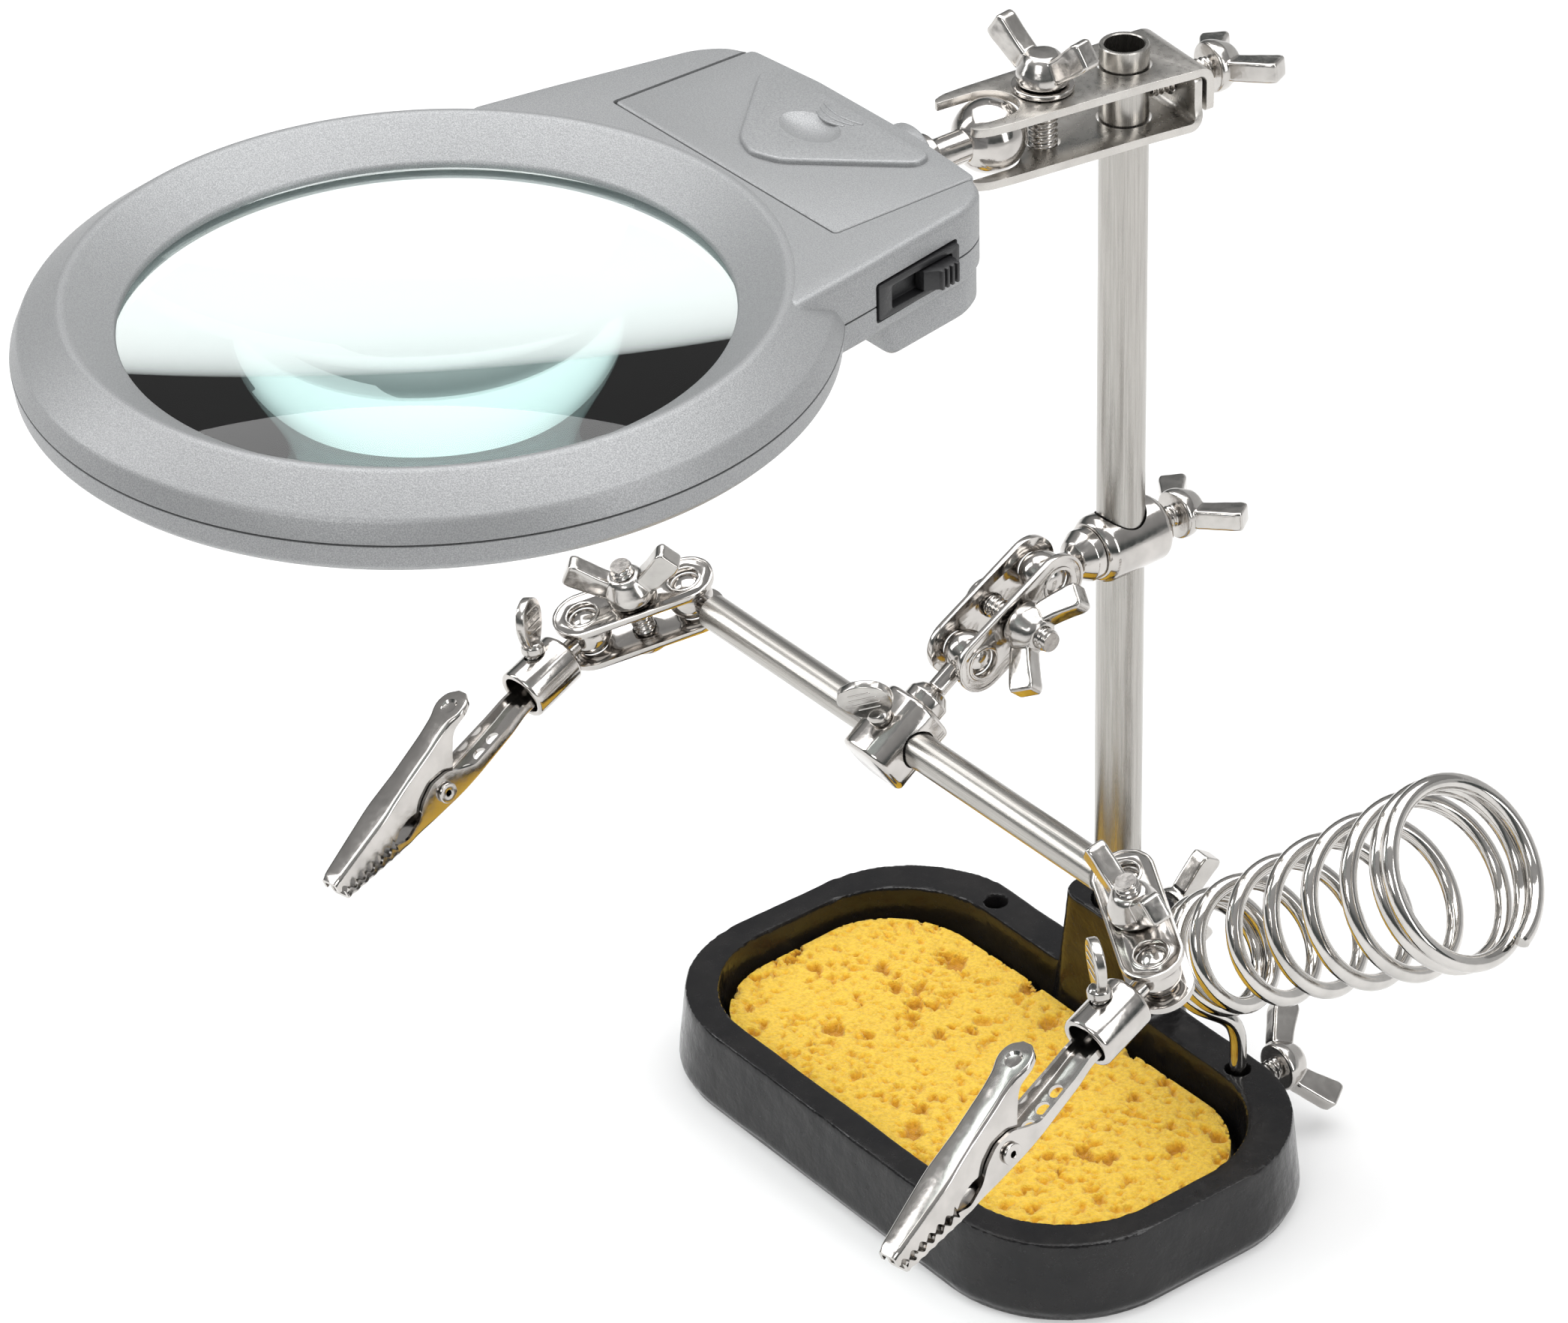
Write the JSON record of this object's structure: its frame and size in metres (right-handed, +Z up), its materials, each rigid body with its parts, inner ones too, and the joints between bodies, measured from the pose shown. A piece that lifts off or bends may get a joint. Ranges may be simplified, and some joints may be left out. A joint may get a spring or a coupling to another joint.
{
  "type": "soldering iron station",
  "caption": "Soldering stand with cast base, sponge, wire iron holder, post, round magnifier on a ball clamp and a crossbar with ball-jointed spring clips.",
  "frame": {"origin": "centre of the base's underside", "axes": "+X along the base's long side, +Y towards the post at the back, +Z up"},
  "size_m": [0.1526, 0.2183, 0.2026],
  "materials": {
    "black_enamel": "semi-gloss black paint",
    "sponge": "porous yellow cellulose",
    "satin_steel": "satin",
    "silver_plastic": "fine-grained silver grey",
    "lens": "clear, polished",
    "black_plastic": "satin",
    "cell_jacket": "printed wrap",
    "led_lamp": "clear",
    "clip_steel": "bright",
    "nickel_plate": "bright"
  },
  "bodies": {
    "base": {"base_casting": "black_enamel"},
    "sponge": {"cleaning_sponge": "sponge"},
    "post_screw": {"post_wing_screw": "nickel_plate"},
    "holder_screw": {"holder_wing_screw": "nickel_plate"},
    "iron_holder": {"iron_holder_coil": "nickel_plate"},
    "post": {"post_tube": "satin_steel"},
    "clamp": {"upper_clamp_plate": "nickel_plate", "lower_clamp_plate": "nickel_plate", "clamp_washer": "nickel_plate"},
    "clamp_bolt": {"clamp_wing_bolt": "nickel_plate"},
    "clamp_end_screw": {"clamp_end_wing_screw": "nickel_plate"},
    "magnifier": {"upper_housing": "silver_plastic", "lower_housing": "silver_plastic", "magnifying_lens": "lens", "battery_cell_1": "cell_jacket", "battery_cell_2": "cell_jacket", "switch_panel": "black_plastic", "magnifier_ball_stud": "nickel_plate", "led_1": "led_lamp", "led_2": "led_lamp"},
    "battery_cover": {"battery_cover": "silver_plastic"},
    "switch": {"switch_slider": "black_plastic"},
    "post_collar": {"post_collar": "nickel_plate", "collar_ball_stud": "nickel_plate"},
    "collar_screw": {"collar_wing_screw": "nickel_plate"},
    "centre_link": {"centre_link_front_plate": "nickel_plate", "centre_link_rear_plate": "nickel_plate", "centre_link_bolt": "nickel_plate"},
    "centre_nut": {"centre_link_wing_nut": "nickel_plate"},
    "bar_collar": {"bar_collar": "nickel_plate", "bar_collar_ball_stud": "nickel_plate"},
    "bar_screw": {"bar_thumb_screw": "nickel_plate"},
    "crossbar": {"crossbar_tube": "satin_steel", "left_bar_ball_stud": "nickel_plate", "right_bar_ball_stud": "nickel_plate"},
    "left_link": {"left_link_front_plate": "nickel_plate", "left_link_rear_plate": "nickel_plate", "left_link_bolt": "nickel_plate"},
    "left_nut": {"left_link_wing_nut": "nickel_plate"},
    "left_socket": {"left_socket": "nickel_plate", "left_socket_ball_stud": "nickel_plate"},
    "left_screw": {"left_thumb_screw": "nickel_plate"},
    "left_clip": {"left_clip_fixed_jaw": "clip_steel", "left_clip_rivet": "clip_steel", "left_clip_spring": "clip_steel"},
    "left_jaw": {"left_clip_moving_jaw": "clip_steel"},
    "right_link": {"right_link_front_plate": "nickel_plate", "right_link_rear_plate": "nickel_plate", "right_link_bolt": "nickel_plate"},
    "right_nut": {"right_link_wing_nut": "nickel_plate"},
    "right_socket": {"right_socket": "nickel_plate", "right_socket_ball_stud": "nickel_plate"},
    "right_screw": {"right_thumb_screw": "nickel_plate"},
    "right_clip": {"right_clip_fixed_jaw": "clip_steel", "right_clip_rivet": "clip_steel", "right_clip_spring": "clip_steel"},
    "right_jaw": {"right_clip_moving_jaw": "clip_steel"}
  },
  "joints": [
    {"name": "sponge_lift", "type": "slide", "parent": "base", "child": "sponge", "axis": [0, 0, 1], "range_m": [0, 0.013]},
    {"name": "post_turn", "type": "hinge", "parent": "base", "child": "post", "pos_m": [0, 0.0295, 0.015], "axis": [0, 0, 1], "range_deg": [-15, 15]},
    {"name": "post_screw_turn", "type": "hinge", "parent": "base", "child": "post_screw", "pos_m": [0, 0.045, 0.0245], "axis": [0, 1, 0], "continuous": true},
    {"name": "holder_screw_turn", "type": "hinge", "parent": "base", "child": "holder_screw", "pos_m": [0.0318, 0.041, 0.0112], "axis": [0, 1, 0], "continuous": true},
    {"name": "iron_holder_turn", "type": "hinge", "parent": "base", "child": "iron_holder", "pos_m": [0.0318, 0.029, 0.02], "axis": [0, 0, 1], "range_deg": [-8, 45]},
    {"name": "clamp_height", "type": "slide", "parent": "post", "child": "clamp", "axis": [0, 0, 1], "range_m": [-0.05, 0.002]},
    {"name": "clamp_bolt_turn", "type": "hinge", "parent": "clamp", "child": "clamp_bolt", "pos_m": [-0.00181, 0.01443, 0.195], "axis": [0, 0, 1], "continuous": true},
    {"name": "clamp_end_screw_turn", "type": "hinge", "parent": "clamp", "child": "clamp_end_screw", "pos_m": [0.00188, 0.04519, 0.1866], "axis": [0.1191, 0.9929, 0], "continuous": true},
    {"name": "magnifier_tilt", "type": "hinge", "parent": "clamp", "child": "magnifier", "pos_m": [-0.003, 0.0045, 0.1866], "axis": [1, 0, 0], "range_deg": [-25, 25]},
    {"name": "battery_cover_slide", "type": "slide", "parent": "magnifier", "child": "battery_cover", "axis": [0, 1, 0], "range_m": [0, 0.014]},
    {"name": "switch_slide", "type": "slide", "parent": "magnifier", "child": "switch", "axis": [0.153, -0.9882, 0], "range_m": [0, 0.006]},
    {"name": "collar_height", "type": "slide", "parent": "post", "child": "post_collar", "axis": [0, 0, 1], "range_m": [-0.012, 0.03]},
    {"name": "collar_screw_turn", "type": "hinge", "parent": "post_collar", "child": "collar_screw", "pos_m": [0, 0.041, 0.1046], "axis": [0, 1, 0], "continuous": true},
    {"name": "centre_link_swing", "type": "hinge", "parent": "post_collar", "child": "centre_link", "pos_m": [0, 0.0128, 0.1046], "axis": [1, 0, 0], "range_deg": [-15, 25]},
    {"name": "centre_nut_turn", "type": "hinge", "parent": "centre_link", "child": "centre_nut", "pos_m": [0.006, 0.00494, 0.10021], "axis": [1, 0, 0], "continuous": true},
    {"name": "bar_collar_tilt", "type": "hinge", "parent": "centre_link", "child": "bar_collar", "pos_m": [0, -0.00291, 0.09582], "axis": [1, 0, 0], "range_deg": [-20, 15]},
    {"name": "bar_screw_turn", "type": "hinge", "parent": "bar_collar", "child": "bar_screw", "pos_m": [0, -0.02108, 0.09112], "axis": [0, -0.5466, 0.8374], "continuous": true},
    {"name": "crossbar_slide", "type": "slide", "parent": "bar_collar", "child": "crossbar", "axis": [1, 0, 0], "range_m": [-0.02, 0.02]},
    {"name": "left_link_swing", "type": "hinge", "parent": "crossbar", "child": "left_link", "pos_m": [-0.0552, -0.0178, 0.0861], "axis": [0, -0.314, 0.9494], "range_deg": [-25, 20]},
    {"name": "left_nut_turn", "type": "hinge", "parent": "left_link", "child": "left_nut", "pos_m": [-0.05944, -0.02722, 0.0893], "axis": [0, -0.314, 0.9494], "continuous": true},
    {"name": "left_socket_swing", "type": "hinge", "parent": "left_link", "child": "left_socket", "pos_m": [-0.06368, -0.03288, 0.08111], "axis": [0, -0.314, 0.9494], "range_deg": [-25, 25]},
    {"name": "left_screw_turn", "type": "hinge", "parent": "left_socket", "child": "left_screw", "pos_m": [-0.06311, -0.04485, 0.08304], "axis": [-0.1726, 0.0144, 0.9849], "continuous": true},
    {"name": "left_clip_roll", "type": "hinge", "parent": "left_socket", "child": "left_clip", "pos_m": [-0.06368, -0.03288, 0.08111], "axis": [0.1253, -0.9419, -0.3115], "range_deg": [-60, 60]},
    {"name": "left_jaw_open", "type": "hinge", "parent": "left_clip", "child": "left_jaw", "pos_m": [-0.05869, -0.06903, 0.0679], "axis": [-0.9867, -0.0855, -0.1384], "range_deg": [0, 18], "stiffness_Nm_per_rad": 0.03, "springref_deg": -17.19},
    {"name": "right_link_swing", "type": "hinge", "parent": "crossbar", "child": "right_link", "pos_m": [0.0575, -0.0178, 0.0861], "axis": [0, -0.314, 0.9494], "range_deg": [-20, 25]},
    {"name": "right_nut_turn", "type": "hinge", "parent": "right_link", "child": "right_nut", "pos_m": [0.06542, -0.02375, 0.09045], "axis": [0, -0.314, 0.9494], "continuous": true},
    {"name": "right_socket_swing", "type": "hinge", "parent": "right_link", "child": "right_socket", "pos_m": [0.07333, -0.02593, 0.08341], "axis": [0, -0.314, 0.9494], "range_deg": [-25, 25]},
    {"name": "right_screw_turn", "type": "hinge", "parent": "right_socket", "child": "right_screw", "pos_m": [0.0739, -0.0379, 0.08533], "axis": [-0.1726, 0.0144, 0.9849], "continuous": true},
    {"name": "right_clip_roll", "type": "hinge", "parent": "right_socket", "child": "right_clip", "pos_m": [0.07333, -0.02593, 0.08341], "axis": [0.1253, -0.9419, -0.3115], "range_deg": [-60, 60]},
    {"name": "right_jaw_open", "type": "hinge", "parent": "right_clip", "child": "right_jaw", "pos_m": [0.07832, -0.06209, 0.0702], "axis": [-0.9867, -0.0855, -0.1384], "range_deg": [0, 18], "stiffness_Nm_per_rad": 0.03, "springref_deg": -17.19}
  ]
}
